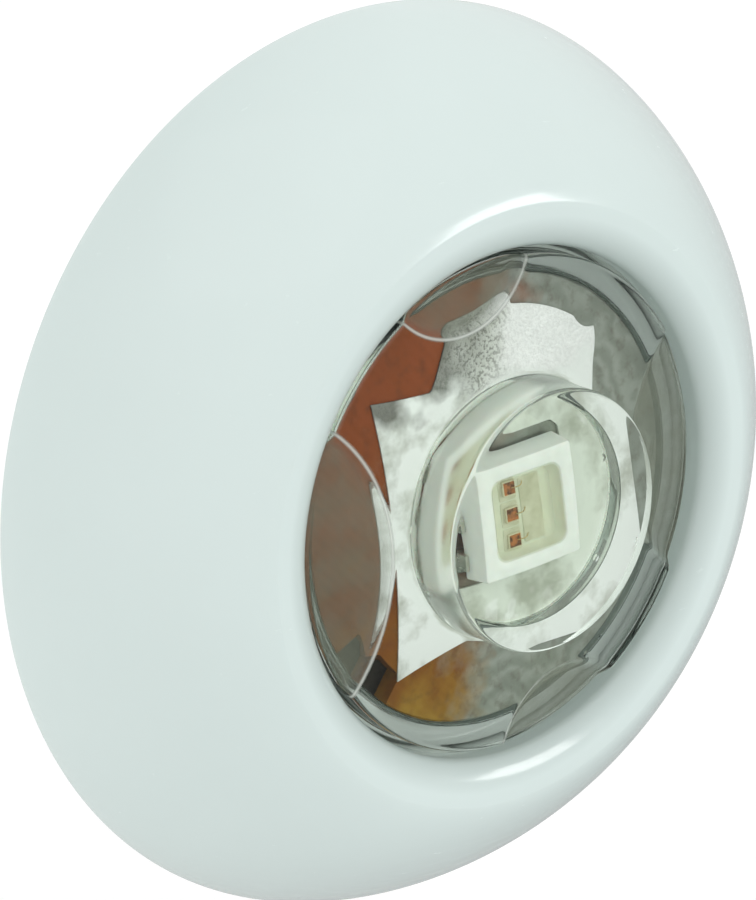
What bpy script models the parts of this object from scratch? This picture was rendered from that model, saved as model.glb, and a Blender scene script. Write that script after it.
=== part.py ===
"""Small underwater pool light that clamps through a hole in the shell of a pool or spa.

The light looks out along -Y and +Z is up. The origin is the small flat at the top of the lens's domed
boss, on the light's axis. Sizes below are in millimetres. "Depth" is the distance in front of the
wall's wet face, towards the water: the flat is at BOSS_TOP, and anything behind the wet face has a
negative depth.
"""

import math

import bmesh
import bpy
from mathutils import Matrix, Vector

MM = 0.001
ROUND = 40  # facets round a turned part
THREAD_STEPS = 20  # facets in one turn of a thread
THREAD_PHASE = 0.0125  # turns from straight up to the first facet edge
GAP = 0.1  # air between parts that rest on each other

# Face ring: a dome that rises from the wall to a rounded lip round the lens.
FACE_R = 23.0
FACE_HEIGHT = 9.4
DOME_POWER = 1.35
LIP_R = 14.7
THROAT_R = 12.55
LIP_DROP = 1.15
RING_WALL = 1.6
RIM_LAND = 1.5

# Lens: a clear flanged plug with a domed boss over the LED.
LENS_R = 12.2
LENS_FRONT = 8.5
FLANGE_R = 14.2
FLANGE_BACK = 5.75
FLANGE_FRONT = 7.1
BOSS_R = 6.4
BOSS_RIM = 11.3
BOSS_TOP = 12.5
BOSS_FLAT_R = 1.5
POCKET_R = 5.0
POCKET_ROOF = 8.1
PLATE_BACK = 6.5
GRIPS = (  # angle, centre's distance from the axis and radius; each grip has its opposite
    (math.radians(4), 16.2, 8.7),
    (math.radians(106), 13.9, 4.5),
)
GRIP_FLOOR = 8.05

# LED package, 5 mm square, with three dies in a column.
LED_SIDE = 5.0
LED_BACK = 6.4
LED_FRONT = 7.9
CAVITY_SIDE = 3.5
CAVITY_FLOOR_SIDE = 3.0
CAVITY_FLOOR = 7.2
DIE_SIDE = 0.6
DIE_HEIGHT = 0.15
DIE_X = -0.6
DIE_PITCH = 1.15

# LED board and what cools it.
BOARD_R = 11.15
BOARD_FRONT = 6.2
BOARD_THICK = 1.0
PAD_HALF = 7.0
PAD_BOW = 0.6
PAD_THICK = 0.1
POOL_R = 9.6  # solder has pooled past the pad's upper side
POOL_SECTOR = (math.radians(38), math.radians(118))
POTTING_R = 4.9
NOTCH_ANGLE = math.radians(221)
NOTCH_WIDTH = 3.6
NOTCH_LENGTH = 3.4
BOARD_TURN = math.radians(6.5)  # the LED and its pad sit a little turned about the axis
THERMAL_PAD_R = 4.4
SPREADER_R = 11.15
SPREADER_BACK = 3.0
SPREADER_FRONT = 4.7
SPREADER_HUB_R = 2.6
WIRE_HOLE_R = 0.9
WIRE_CIRCLE = 5.1
WIRE_R = 0.5

# Housing: head, flange and threaded tail in one moulding.
HEAD_R = 15.5
HEAD_FRONT = 6.8
SEAT_R = 14.4
SEAT_DEPTH = 5.65
CAVITY_R = 11.4
GROOVE = (12.35, 13.8)
GROOVE_DEPTH = 1.1
ORING_R = 13.07
ORING_SECTION = 0.5
FLANGE_PLATE_R = 19.0
FLANGE_PLATE_BACK = 1.4
FLANGE_PLATE_FRONT = 2.7
TAIL_R = 7.8
TAIL_BORE = 6.4
TAIL_END = -12.0

# Every thread is right-handed, with this pitch and ridge half widths at its root and at its crest.
PITCH = 1.5
RIDGE = (0.64, 0.2)

# Wall clamp, at rest on a shell 3 mm thick.
WALL_THICK = 3.0
GASKET_THICK = 1.3
WASHER_THICK = 0.8
WASHER_R = 14.5
NUT_FLATS = 22.0
NUT_THICK = 4.5
NUT_BORE = 9.0

# Driver board, a disc across the tail, with its parts on its rear face.
DRIVER_R = 6.0
DRIVER_FRONT = -3.0
DRIVER_BACK = -4.0

# Rear closure and cable.
PLUG_FRONT = -8.6
PLUG_BACK = -10.0
CAP_FRONT = -10.3
GROMMET_R = 2.9
GROMMET_HEAD_R = 3.6
GROMMET_END = -14.3
CABLE_R = 2.0
CABLE_BORE = 1.45
CABLE_START = -8.8
CABLE_BEND_R = 8.0
CABLE_BEND = math.radians(84)
CABLE_SIDE = math.radians(-32)  # from +X, the way the cable turns
CORE_R = 0.6
CORE_OFFSET = 0.75

COLOURS = {
    "white_abs": ((0.86, 0.90, 0.89), 0.18, 0.0),
    "clear_plastic": ((0.92, 0.95, 0.94), 0.05, 0.0),
    "grey_abs": ((0.50, 0.53, 0.53), 0.45, 0.0),
    "black_rubber": ((0.03, 0.03, 0.03), 0.75, 0.0),
    "seal_silicone": ((0.62, 0.66, 0.64), 0.45, 0.0),
    "clear_potting": ((0.90, 0.93, 0.90), 0.08, 0.0),
    "brown_board": ((0.32, 0.10, 0.03), 0.55, 0.0),
    "green_board": ((0.03, 0.20, 0.08), 0.50, 0.0),
    "tinned_copper": ((0.78, 0.78, 0.74), 0.30, 1.0),
    "led_ceramic": ((0.88, 0.89, 0.84), 0.50, 0.0),
    "led_gel": ((0.90, 0.90, 0.82), 0.08, 0.0),
    "die_semiconductor": ((0.20, 0.13, 0.10), 0.40, 0.0),
    "aluminium": ((0.75, 0.76, 0.77), 0.35, 1.0),
    "thermal_silicone": ((0.45, 0.47, 0.50), 0.80, 0.0),
    "slip_nylon": ((0.80, 0.80, 0.76), 0.50, 0.0),
    "chip_epoxy": ((0.04, 0.04, 0.045), 0.50, 0.0),
    "potting_resin": ((0.08, 0.08, 0.09), 0.35, 0.0),
    "cable_pvc": ((0.05, 0.05, 0.055), 0.50, 0.0),
    "wire_red": ((0.55, 0.04, 0.03), 0.40, 0.0),
    "wire_green": ((0.04, 0.35, 0.08), 0.40, 0.0),
    "wire_blue": ((0.04, 0.10, 0.50), 0.40, 0.0),
    "wire_white": ((0.80, 0.80, 0.78), 0.40, 0.0),
    "wire_brown": ((0.20, 0.09, 0.04), 0.40, 0.0),
}


# ---------------------------------------------------------------- helpers


def clear_scene():
    for obj in list(bpy.data.objects):
        bpy.data.objects.remove(obj)


def material(name):
    found = bpy.data.materials.get(name)
    if found:
        return found
    colour, roughness, metallic = COLOURS[name]
    made = bpy.data.materials.new(name)
    made.use_nodes = True
    shader = made.node_tree.nodes["Principled BSDF"]
    shader.inputs["Base Color"].default_value = (*colour, 1.0)
    shader.inputs["Roughness"].default_value = roughness
    shader.inputs["Metallic"].default_value = metallic
    return made


def at(x, depth, z):
    """The point x across, z up and depth in front of the wall, in metres from the origin."""
    return Vector((x, BOSS_TOP - depth, z)) * MM


def along(depth):
    """A step of depth towards the water, in metres."""
    return Vector((0.0, -depth, 0.0)) * MM


def from_bmesh(name, bm, finish=None, smooth=True):
    """A new object from bm. With no finish it is a tool for a Boolean and isn't a part."""
    bmesh.ops.recalc_face_normals(bm, faces=bm.faces)
    mesh = bpy.data.meshes.new(name)
    bm.to_mesh(mesh)
    bm.free()
    if smooth:
        mesh.shade_smooth()
        mesh.set_sharp_from_angle(angle=math.radians(35))
    obj = bpy.data.objects.new(name, mesh)
    bpy.context.scene.collection.objects.link(obj)
    if finish:
        mesh.materials.append(material(finish))
    else:
        obj.hide_render = True
        obj.display_type = "WIRE"
    return obj


def combine(obj, tool, operation):
    modifier = obj.modifiers.new(f"{operation.lower()} {tool.name}", "BOOLEAN")
    modifier.operation = operation
    modifier.object = tool
    modifier.solver = "EXACT"
    return obj


def turned(name, outline, finish=None, steps=ROUND, offset=(0.0, 0.0)):
    """Turns a closed outline of (radius, depth) points about an axis along Y, offset in (x, z)."""
    bm = bmesh.new()
    corners = [bm.verts.new(at(r, depth, 0.0)) for r, depth in outline]
    pairs = zip(corners, corners[1:] + corners[:1])
    edges = [bm.edges.new(pair) for pair in pairs if max(abs(v.co.x) for v in pair) > 0]
    bmesh.ops.spin(
        bm, geom=corners + edges, cent=(0, 0, 0), axis=(0, 1, 0), angle=math.tau, steps=steps, use_merge=True
    )
    bmesh.ops.remove_doubles(bm, verts=bm.verts, dist=1e-7)
    bmesh.ops.translate(bm, verts=bm.verts, vec=Vector((offset[0], 0.0, offset[1])) * MM)
    return from_bmesh(name, bm, finish)


def block(name, centre, size, finish=None, bevel=0.0):
    """A box: centre and size are (x, depth, z)."""
    bm = bmesh.new()
    scale = Matrix.Diagonal((*(MM * side for side in size), 1.0))
    bmesh.ops.create_cube(bm, size=1.0, matrix=Matrix.Translation(at(*centre)) @ scale)
    if bevel:
        bmesh.ops.bevel(bm, geom=bm.edges[:], offset=bevel * MM, segments=1, affect="EDGES")
    return from_bmesh(name, bm, finish, smooth=False)


def prism(name, outline, back, front, finish=None, front_scale=1.0):
    """A plate from back to front with an outline of (x, z) points, scaled by front_scale at its front."""
    bm = bmesh.new()
    rear = bm.faces.new([bm.verts.new(at(x, back, z)) for x, z in outline])
    made = bmesh.ops.extrude_face_region(bm, geom=[rear])["geom"]
    raised = [item for item in made if isinstance(item, bmesh.types.BMVert)]
    bmesh.ops.translate(bm, verts=raised, vec=along(front - back))
    for vert in raised:
        vert.co.x *= front_scale
        vert.co.z *= front_scale
    return from_bmesh(name, bm, finish)


def circle(radius, centre=(0.0, 0.0), steps=ROUND, start=0.0, turn=math.tau):
    """(x, z) points round a circle, or along the part of it that turn covers."""
    whole = abs(turn) >= math.tau
    count = steps if whole else steps + 1
    angles = [start + turn * i / steps for i in range(count)]
    return [(centre[0] + radius * math.cos(a), centre[1] + radius * math.sin(a)) for a in angles]


def rounded_square(side, corner, steps=4):
    inset = side / 2 - corner
    points = []
    for quarter in range(4):
        start = quarter * math.pi / 2
        sx = math.copysign(inset, math.cos(start + math.pi / 4))
        sz = math.copysign(inset, math.sin(start + math.pi / 4))
        points += circle(corner, (sx, sz), steps, start, math.pi / 2)
    return points


def hexagon(flats):
    return circle(flats / 2 / math.cos(math.pi / 6), steps=6)


def thread(name, base_r, crest_r, zero_depth, first_turn, last_turn):
    """A right-hand helical ridge from base_r to crest_r, lower over the last part of a turn at each end.

    Its middle is at zero_depth where the turn is 0, and goes back by one pitch each turn.
    """
    bm = bmesh.new()
    count = round((last_turn - first_turn) * THREAD_STEPS)
    fade = THREAD_STEPS // 6
    base, tip = RIDGE
    rings = []
    for i in range(count + 1):
        turn = first_turn + i / THREAD_STEPS
        angle = (turn + THREAD_PHASE) * math.tau
        depth = zero_depth - PITCH * turn
        height = min(1.0, 0.02 + i / fade, 0.02 + (count - i) / fade)
        crest = base_r + (crest_r - base_r) * height
        section = [(base_r, -base), (crest, -tip), (crest, tip), (base_r, base)]
        ring = []
        for r, across in section:
            ring.append(bm.verts.new(at(r * math.sin(angle), depth + across, r * math.cos(angle))))
        rings.append(ring)
    for near, far in zip(rings, rings[1:]):
        for j in range(4):
            k = (j + 1) % 4
            bm.faces.new((near[j], near[k], far[k], far[j]))
    bm.faces.new(rings[0])
    bm.faces.new(rings[-1])
    return from_bmesh(name, bm, smooth=False)


def curve_rod(name, points, radius, finish):
    """A round rod through control points, as a curve with a bevel and filled caps."""
    curve = bpy.data.curves.new(name, "CURVE")
    curve.dimensions = "3D"
    curve.bevel_depth = radius * MM
    curve.bevel_resolution = 1
    curve.resolution_u = 3
    curve.use_fill_caps = True
    spline = curve.splines.new("NURBS")
    spline.points.add(len(points) - 1)
    for target, point in zip(spline.points, points):
        target.co = (*at(*point), 1.0)
    spline.order_u = 4
    spline.use_endpoint_u = True
    curve.materials.append(material(finish))
    obj = bpy.data.objects.new(name, curve)
    bpy.context.scene.collection.objects.link(obj)
    return obj


# ---------------------------------------------------------------- front


def dome(outer_r, height, first=0.0, last=math.pi / 2, steps=10):
    """(radius, depth) points on the dome between two angles, from the wall up to the lip."""
    points = []
    for i in range(steps + 1):
        t = first + (last - first) * i / steps
        across = max(0.0, math.cos(t)) ** (2 / DOME_POWER)
        up = max(0.0, math.sin(t)) ** (2 / DOME_POWER)
        points.append((LIP_R + (outer_r - LIP_R) * across, height * up))
    return points


def make_face_ring():
    skirt_bore = HEAD_R + 1.0
    skirt_r = skirt_bore + 1.4
    shoulder = FLANGE_FRONT + 0.4
    skirt_end = FLANGE_PLATE_FRONT + 0.4
    inner_r = FACE_R - RIM_LAND
    inner_height = FACE_HEIGHT - RING_WALL
    share = (skirt_r - LIP_R) / (inner_r - LIP_R)
    last = math.acos(share ** (DOME_POWER / 2))
    outside = dome(FACE_R, FACE_HEIGHT)
    lip = [
        (
            LIP_R - (LIP_R - THROAT_R) * math.sin(t),
            FACE_HEIGHT - LIP_DROP * (1 - math.cos(t)),
        )
        for t in (math.radians(22.5 * i) for i in range(1, 5))
    ]
    steps = [
        (THROAT_R, shoulder),
        (FLANGE_R + 0.1, shoulder),
        (FLANGE_R + 0.1, HEAD_FRONT + 0.2),
        (skirt_bore, HEAD_FRONT + 0.2),
        (skirt_bore, skirt_end),
        (skirt_r, skirt_end),
    ]
    inside = list(reversed(dome(inner_r, inner_height, 0.0, last, 6)))
    ring = turned("face_ring", outside + lip + steps + inside, "white_abs")
    ridge = thread("face_ring_thread", skirt_bore + 0.3, HEAD_R + 0.35, 6.75, 0.4, 1.78)
    combine(ring, ridge, "UNION")


def make_slip_washer():
    low, high = FLANGE_FRONT + GAP / 2, FLANGE_FRONT + 0.35
    inner, outer = THROAT_R + 0.2, FLANGE_R
    turned("slip_washer", [(inner, low), (outer, low), (outer, high), (inner, high)], "slip_nylon")


def boss_dome(steps=6):
    """(radius, depth) points on the sphere from the boss's rim up to its small flat."""
    rise = BOSS_TOP - BOSS_RIM
    middle = (BOSS_TOP**2 - BOSS_RIM**2 + BOSS_FLAT_R**2 - BOSS_R**2) / (2 * rise)
    radius = math.hypot(BOSS_R, BOSS_RIM - middle)
    first = math.asin(BOSS_R / radius)
    last = math.asin(BOSS_FLAT_R / radius)
    angles = [first + (last - first) * i / steps for i in range(steps + 1)]
    return [(radius * math.sin(a), middle + radius * math.cos(a)) for a in angles]


def make_lens():
    outline = [
        (0.0, POCKET_ROOF),
        (POCKET_R - 0.3, POCKET_ROOF),
        (POCKET_R, POCKET_ROOF - 0.3),
        (POCKET_R, PLATE_BACK),
        (BOARD_R + 0.1, PLATE_BACK),
        (BOARD_R + 0.1, FLANGE_BACK),
        (FLANGE_R, FLANGE_BACK),
        (FLANGE_R, FLANGE_FRONT),
        (LENS_R, FLANGE_FRONT),
        (LENS_R, LENS_FRONT - 0.3),
        (LENS_R - 0.3, LENS_FRONT),
        (BOSS_R, LENS_FRONT),
        *boss_dome(),
        (0.0, BOSS_TOP),
    ]
    lens = turned("lens", outline, "clear_plastic")
    for i, (angle, distance, radius) in enumerate(GRIPS):
        for way in (1, -1):
            centre = (way * distance * math.cos(angle), way * distance * math.sin(angle))
            scoop = prism(f"grip_cut_{i}_{way}", circle(radius, centre, 32), GRIP_FLOOR, BOSS_TOP)
            combine(lens, scoop, "DIFFERENCE")


def make_lens_oring():
    middle = SEAT_DEPTH - ORING_SECTION - 0.03
    section = circle(ORING_SECTION, (ORING_R, middle), 6)
    turned("lens_oring", section, "seal_silicone")


def ring_angles(count):
    return [math.tau * i / count for i in range(count)]


# ---------------------------------------------------------------- LED and its board


def board_turned(obj):
    """Turns a piece about the axis as far as the LED and its pad are turned."""
    obj.data.transform(Matrix.Rotation(-BOARD_TURN, 4, "Y"))
    return obj


def make_led():
    body = prism("led_body", rounded_square(LED_SIDE, 0.15, 2), LED_BACK, LED_FRONT, "led_ceramic")
    cavity = prism(
        "led_cavity_cut",
        rounded_square(CAVITY_FLOOR_SIDE, 0.45),
        CAVITY_FLOOR,
        LED_FRONT + 0.5,
        front_scale=(CAVITY_SIDE + 0.25) / CAVITY_FLOOR_SIDE,
    )
    combine(board_turned(body), board_turned(cavity), "DIFFERENCE")
    for name, row in (("red", 1), ("green", 0), ("blue", -1)):
        low = CAVITY_FLOOR + 0.02
        centre = (DIE_X, low + DIE_HEIGHT / 2, row * DIE_PITCH)
        die = block(f"led_die_{name}", centre, (DIE_SIDE, DIE_HEIGHT, DIE_SIDE), "die_semiconductor")
        board_turned(die)
    gel_back = CAVITY_FLOOR + DIE_HEIGHT + 0.06
    gel = prism(
        "led_gel",
        rounded_square(CAVITY_FLOOR_SIDE + 0.05, 0.45),
        gel_back,
        LED_FRONT - 0.05,
        "led_gel",
        front_scale=1.1,
    )
    board_turned(gel)
    for i in range(6):
        side = -1 if i < 3 else 1
        centre = (side * 2.25, LED_BACK - 0.1, (i % 3 - 1) * 1.7)
        board_turned(block(f"led_lead_{i + 1}", centre, (1.0, 0.12, 0.9), "tinned_copper"))


def make_led_potting():
    """Clear potting that fills the lens's pocket round and over the LED."""
    back, front = BOARD_FRONT + 0.18, POCKET_ROOF - 0.04
    chamfer = [(POTTING_R, front - 0.3), (POTTING_R - 0.3, front)]
    disc = [(0.0, back), (POTTING_R, back), *chamfer, (0.0, front)]
    potting = turned("led_potting", disc, "clear_potting")
    side = LED_SIDE + 0.1
    hollow = block("potting_hollow_cut", (0.0, LED_FRONT + 0.04 - 1.5, 0.0), (side, 3.0, side))
    combine(potting, board_turned(hollow), "DIFFERENCE")


def make_led_board():
    back = BOARD_FRONT - BOARD_THICK
    board = prism("led_board", circle(BOARD_R), back, BOARD_FRONT, "brown_board")
    notch = block("board_notch_cut", (0.0, BOARD_FRONT, 0.0), (NOTCH_WIDTH, 4.0, NOTCH_LENGTH))
    notch.matrix_world = (
        Matrix.Rotation(math.pi / 2 - NOTCH_ANGLE, 4, "Y") @ Matrix.Translation((0, 0, BOARD_R * MM))
    )
    combine(board, notch, "DIFFERENCE")


def pad_outline(steps=60):
    """A square whose sides curve in a little, with a pool of solder that runs out past its upper side."""
    bow_r = (PAD_HALF**2 + PAD_BOW**2) / (2 * PAD_BOW)
    bow_centre = PAD_HALF - PAD_BOW + bow_r
    low, high = POOL_SECTOR
    points = []
    for i in range(steps):
        angle = math.tau * i / steps
        off = (angle + math.pi / 4) % (math.pi / 2) - math.pi / 4
        r = bow_centre * math.cos(off) - math.sqrt(bow_r**2 - (bow_centre * math.sin(off)) ** 2)
        share = (angle - low) / (high - low)
        r += (POOL_R - r) * max(0.0, min(1.0, 5 * share, 5 * (1 - share)))
        points.append((r * math.cos(angle), r * math.sin(angle)))
    return points


def make_heat_pad():
    low = BOARD_FRONT + 0.02
    pad = prism("heat_pad", pad_outline(), low, low + PAD_THICK, "tinned_copper")
    window = block("pad_window_cut", (0.0, BOARD_FRONT, 0.0), (LED_SIDE + 0.9, 2.0, LED_SIDE + 0.6))
    combine(board_turned(pad), board_turned(window), "DIFFERENCE")


def make_cooling():
    back = BOARD_FRONT - BOARD_THICK
    pad_back, pad_front = SPREADER_FRONT + 0.05, back - 0.05
    pad = [(0.0, pad_front), (THERMAL_PAD_R, pad_front), (THERMAL_PAD_R, pad_back), (0.0, pad_back)]
    turned("thermal_pad", pad, "thermal_silicone")
    disc = [
        (0.0, 0.4),
        (SPREADER_HUB_R, 0.4),
        (SPREADER_HUB_R, SPREADER_BACK),
        (SPREADER_R, SPREADER_BACK),
        (SPREADER_R, SPREADER_FRONT),
        (0.0, SPREADER_FRONT),
    ]
    spreader = turned("heat_spreader", disc, "aluminium")
    for i, centre in enumerate(wire_places()):
        hole = prism(f"wire_hole_cut_{i}", circle(WIRE_HOLE_R, centre, 10), 0.0, SPREADER_FRONT + 1.0)
        combine(spreader, hole, "DIFFERENCE")


def wire_places():
    angles = (math.radians(degrees) for degrees in (150, 30, 210, 330))
    return [(WIRE_CIRCLE * math.cos(a), WIRE_CIRCLE * math.sin(a)) for a in angles]


def make_led_wires():
    top = BOARD_FRONT - BOARD_THICK - 0.05
    bottom = DRIVER_FRONT + 0.05
    for colour, (x, z) in zip(("white", "red", "green", "blue"), wire_places()):
        slack = (0.85 * x, -0.6, 0.85 * z)
        path = [(x, top, z), (x, 3.2, z), (x, 1.2, z), slack, (x, -1.8, z), (x, bottom, z)]
        curve_rod(f"led_wire_{colour}", path, WIRE_R, f"wire_{colour}")


# ---------------------------------------------------------------- housing and wall clamp


def make_housing():
    outline = [
        (TAIL_BORE, TAIL_END),
        (TAIL_R - 0.5, TAIL_END),
        (TAIL_R, TAIL_END + 0.5),
        (TAIL_R, FLANGE_PLATE_BACK),
        (FLANGE_PLATE_R, FLANGE_PLATE_BACK),
        (FLANGE_PLATE_R, FLANGE_PLATE_FRONT),
        (HEAD_R, FLANGE_PLATE_FRONT),
        (HEAD_R, HEAD_FRONT),
        (SEAT_R, HEAD_FRONT),
        (SEAT_R, SEAT_DEPTH),
        (GROOVE[1], SEAT_DEPTH),
        (GROOVE[1], SEAT_DEPTH - GROOVE_DEPTH),
        (GROOVE[0], SEAT_DEPTH - GROOVE_DEPTH),
        (GROOVE[0], SEAT_DEPTH),
        (CAVITY_R, SEAT_DEPTH),
        (CAVITY_R, SPREADER_BACK - GAP),
        (TAIL_BORE, SPREADER_BACK - GAP),
    ]
    housing = turned("housing", outline, "grey_abs")
    head = thread("head_thread", HEAD_R - 0.3, HEAD_R + 0.65, 6.0, 0.0, 1.46)
    tail = thread("tail_thread", TAIL_R - 0.3, TAIL_R + 0.9, -1.2, 0.0, 6.6)
    combine(housing, head, "UNION")
    combine(housing, tail, "UNION")


def make_gasket():
    inner, outer = TAIL_R + 1.2, FLANGE_PLATE_R - 0.2
    outline = [(inner, 0.0), (outer, 0.0), (outer, GASKET_THICK), (inner, GASKET_THICK)]
    turned("wall_gasket", outline, "black_rubber")


def make_wall_clamp():
    front = -WALL_THICK - GAP / 2
    back = front - WASHER_THICK
    outline = [(NUT_BORE, back), (WASHER_R, back), (WASHER_R, front), (NUT_BORE, front)]
    turned("wall_washer", outline, "slip_nylon")
    nut_front = back - GAP
    nut_back = nut_front - NUT_THICK
    corner = NUT_FLATS / 2 / math.cos(math.pi / 6)
    bevel = corner - NUT_FLATS / 2
    chamfer = [
        (NUT_BORE + 0.6, nut_back),
        (corner - bevel, nut_back),
        (corner, nut_back + bevel / 2),
        (corner + 0.1, nut_front),
        (NUT_BORE + 0.4, nut_front),
        (NUT_BORE, nut_front - 0.4),
        (NUT_BORE, nut_back + 0.6),
    ]
    nut = prism("locknut", hexagon(NUT_FLATS), nut_back - 1.0, nut_front + 1.0, "grey_abs")
    combine(nut, turned("locknut_blank_cut", chamfer), "INTERSECT")
    ridge = thread("locknut_thread", NUT_BORE + 0.3, TAIL_R + 0.35, -1.95, 1.9, 3.8)
    combine(nut, ridge, "UNION")


# ---------------------------------------------------------------- driver board, rear closure, cable


def make_driver():
    plate = [(0.0, DRIVER_BACK), (DRIVER_R, DRIVER_BACK), (DRIVER_R, DRIVER_FRONT), (0.0, DRIVER_FRONT)]
    turned("driver_board", plate, "green_board", steps=32)
    face = DRIVER_BACK - 0.04
    block("controller_chip", (2.6, face - 0.55, 2.5), (3.0, 1.1, 3.0), "chip_epoxy", bevel=0.12)
    block("bridge_rectifier", (-2.3, face - 1.1, -2.75), (3.8, 2.2, 2.8), "chip_epoxy", bevel=0.15)
    for i, (x, z) in enumerate(((1.5, -2.3), (3.7, -2.3), (2.6, -4.3))):
        block(f"resistor_{i + 1}", (x, face - 0.25, z), (1.25, 0.5, 2.0 if i < 2 else 1.2), "chip_epoxy")
    r, tall = 1.9, 3.9
    can = [(0.0, face - tall), (r - 0.2, face - tall), (r, face - tall + 0.2), (r, face), (0.0, face)]
    turned("capacitor", can, "aluminium", steps=20, offset=(-2.8, 2.6))


def make_rear_closure():
    bore = TAIL_BORE - 0.12
    around_cable = CABLE_R + 0.12
    plug = [(around_cable, PLUG_BACK), (bore, PLUG_BACK), (bore, PLUG_FRONT), (around_cable, PLUG_FRONT)]
    turned("potting_plug", plug, "potting_resin", steps=32)
    hole = GROMMET_R + 0.1
    cap = [(hole, TAIL_END), (bore - 0.3, TAIL_END), (bore, TAIL_END + 0.3)]
    cap += [(bore, CAP_FRONT), (hole, CAP_FRONT)]
    turned("rear_cap", cap, "grey_abs", steps=32)
    shoulder = TAIL_END - GAP
    grommet = [
        (around_cable, CAP_FRONT),
        (GROMMET_R, CAP_FRONT),
        (GROMMET_R, shoulder),
        (GROMMET_HEAD_R, shoulder),
        (GROMMET_HEAD_R, shoulder - 0.8),
        (CABLE_R + 0.7, GROMMET_END),
        (around_cable, GROMMET_END),
    ]
    turned("strain_relief", grommet, "black_rubber", steps=24)


def cable_path(start, steps=8):
    """(depth, way, heading) stations: straight back, then turning through CABLE_BEND.

    way is how far the cable has gone to its side, along CABLE_SIDE.
    """
    bend_start = GROMMET_END - 0.3
    stations = [(start, 0.0, 0.0), (bend_start, 0.0, 0.0)]
    for i in range(1, steps + 1):
        a = CABLE_BEND * i / steps
        stations.append((bend_start - CABLE_BEND_R * math.sin(a), CABLE_BEND_R * (1 - math.cos(a)), a))
    return stations


def beyond(stations, length):
    """The same stations with one more, length further along the last heading."""
    depth, way, heading = stations[-1]
    return [*stations, (depth - length * math.cos(heading), way + length * math.sin(heading), heading)]


def swept(name, stations, radius, finish, bore=0.0, across=0.0, steps=12):
    """A rod, or a tube with a bore, along stations, moved across its own line by across."""
    bm = bmesh.new()
    cos_side, sin_side = math.cos(CABLE_SIDE), math.sin(CABLE_SIDE)
    walls = []
    for r in [radius] + ([bore] if bore else []):
        loops = []
        for depth, way, heading in stations:
            loop = []
            for a in ring_angles(steps):
                out = way + r * math.sin(a) * math.cos(heading)
                sideways = across + r * math.cos(a)
                x = out * cos_side - sideways * sin_side
                z = out * sin_side + sideways * cos_side
                loop.append(bm.verts.new(at(x, depth + r * math.sin(a) * math.sin(heading), z)))
            loops.append(loop)
        for near, far in zip(loops, loops[1:]):
            for j in range(steps):
                k = (j + 1) % steps
                bm.faces.new((near[j], near[k], far[k], far[j]))
        walls.append(loops)
    for end in (0, -1):
        if bore:
            for j in range(steps):
                k = (j + 1) % steps
                outer, inner = walls[0][end], walls[1][end]
                bm.faces.new((outer[j], outer[k], inner[k], inner[j]))
        else:
            bm.faces.new(walls[0][end])
    return from_bmesh(name, bm, finish)


def make_cable():
    jacket = beyond(cable_path(CABLE_START), 14.0)
    swept("cable_jacket", jacket, CABLE_R, "cable_pvc", bore=CABLE_BORE, steps=16)
    core_path = beyond(cable_path(DRIVER_BACK - 0.05), 19.0)
    depth, way, heading = core_path[-1]
    gap = 0.05
    tip_start = (depth - gap * math.cos(heading), way + gap * math.sin(heading), heading)
    for colour, across in (("brown", -CORE_OFFSET), ("blue", CORE_OFFSET)):
        swept(f"core_{colour}", core_path, CORE_R, f"wire_{colour}", across=across, steps=8)
        swept(f"core_tip_{colour}", beyond([tip_start], 3.5), 0.35, "tinned_copper", across=across, steps=8)


def main():
    clear_scene()
    make_face_ring()
    make_slip_washer()
    make_lens()
    make_lens_oring()
    make_led()
    make_led_potting()
    make_led_board()
    make_heat_pad()
    make_cooling()
    make_led_wires()
    make_housing()
    make_gasket()
    make_wall_clamp()
    make_driver()
    make_rear_closure()
    make_cable()


main()
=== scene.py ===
"""The looks of the small underwater pool light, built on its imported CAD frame.

The light looks out along -Y, its axis is the Y axis, and the origin is at the top of its lens. Radii
and places are in millimetres. Turned pieces are outlines of (radius, y) points. A depth is a distance
in front of the wall's wet face, so y is WALL_Y less the depth.
"""

import math

import bmesh
import bpy
from mathutils import Matrix, Vector, noise


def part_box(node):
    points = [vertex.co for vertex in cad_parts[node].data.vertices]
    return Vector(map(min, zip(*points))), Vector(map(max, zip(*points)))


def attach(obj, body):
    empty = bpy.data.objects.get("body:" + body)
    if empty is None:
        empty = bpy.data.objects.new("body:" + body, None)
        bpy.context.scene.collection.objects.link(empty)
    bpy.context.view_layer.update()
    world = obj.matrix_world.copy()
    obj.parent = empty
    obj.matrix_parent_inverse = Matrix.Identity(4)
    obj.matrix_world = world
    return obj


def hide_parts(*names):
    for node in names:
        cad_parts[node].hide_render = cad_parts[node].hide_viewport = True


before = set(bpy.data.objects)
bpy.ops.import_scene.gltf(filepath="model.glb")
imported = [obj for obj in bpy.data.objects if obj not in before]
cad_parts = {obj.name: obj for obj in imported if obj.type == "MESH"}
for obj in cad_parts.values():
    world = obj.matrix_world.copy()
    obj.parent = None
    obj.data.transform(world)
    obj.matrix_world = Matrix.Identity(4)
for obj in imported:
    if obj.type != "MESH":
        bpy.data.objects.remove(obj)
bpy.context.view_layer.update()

MM = 0.001


def edge(node, corner, letter):
    """One coordinate of a CAD node's box, in millimetres: corner 0 is the lowest and 1 the highest."""
    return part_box(node)[corner]["xyz".index(letter)] / MM


def span(node):
    """A CAD node's lowest and highest y, in millimetres."""
    return edge(node, 0, "y"), edge(node, 1, "y")


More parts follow.
